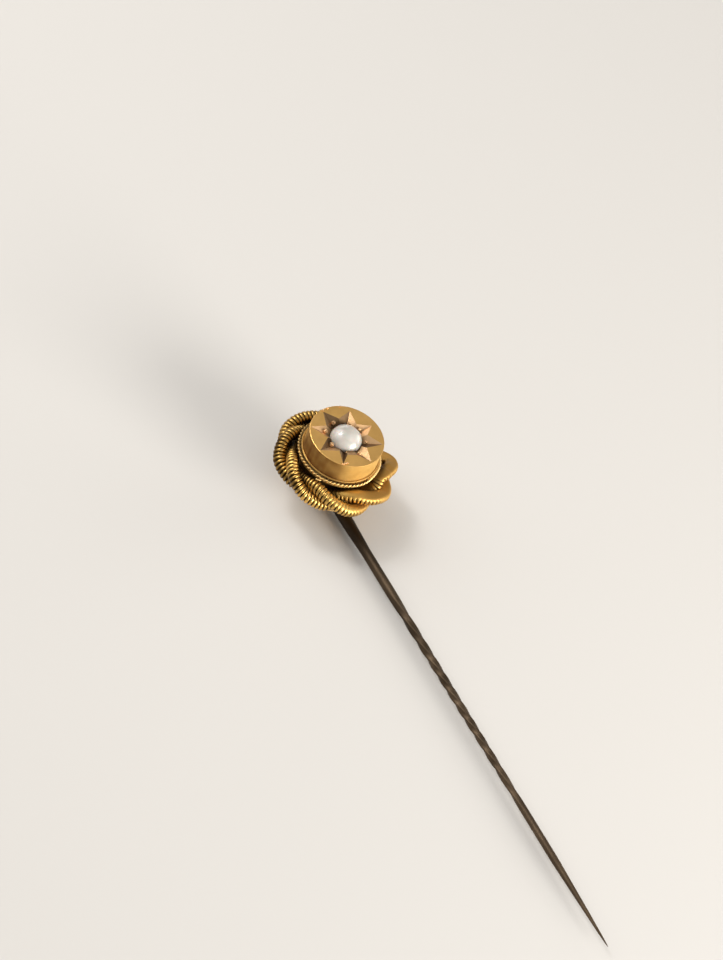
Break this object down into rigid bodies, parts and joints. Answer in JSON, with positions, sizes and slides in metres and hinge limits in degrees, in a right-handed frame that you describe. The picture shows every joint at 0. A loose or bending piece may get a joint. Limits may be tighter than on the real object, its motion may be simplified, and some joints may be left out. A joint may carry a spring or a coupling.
{
  "type": "stick pin",
  "caption": "Gold stick pin for a tie or cravat: a half pearl in a star-cut drum with a rope border, on a wreath of coil-wound wire, with a twisted square shank.",
  "frame": {"origin": "on the stem's axis, in the middle of the straight round shank between the head and the twist", "axes": "+Z is the way the head's face looks, -Y runs along the stem to its point, +X is to the right of the face"},
  "size_m": [0.0118, 0.0579, 0.0088],
  "materials": {
    "face_gold": "satin, with bright cut rims and rosy facets",
    "drum_gold": "worn satin",
    "rope_gold": "worn polish",
    "coil_gold": "worn polish, dark between the turns",
    "core_gold": "dull",
    "back_gold": "dull",
    "stem_gold": "dull, with grey tarnish",
    "pearl": "pearly",
    "cement": "matte"
  },
  "bodies": {
    "root": {"face_plate": "face_gold", "drum_wall": "drum_gold", "drum_flange": "drum_gold", "pearl_bed": "cement", "half_pearl": "pearl", "rope_wire_1": "rope_gold", "rope_wire_2": "rope_gold", "foot_wire": "rope_gold", "centre_collar": "back_gold", "back_plate": "back_gold", "stem_socket": "back_gold", "stem": "stem_gold", "strand_core_1": "core_gold", "strand_coil_1": "coil_gold", "strand_core_2": "core_gold", "strand_coil_2": "coil_gold", "strand_core_3": "core_gold", "strand_coil_3": "coil_gold"}
  },
  "joints": []
}
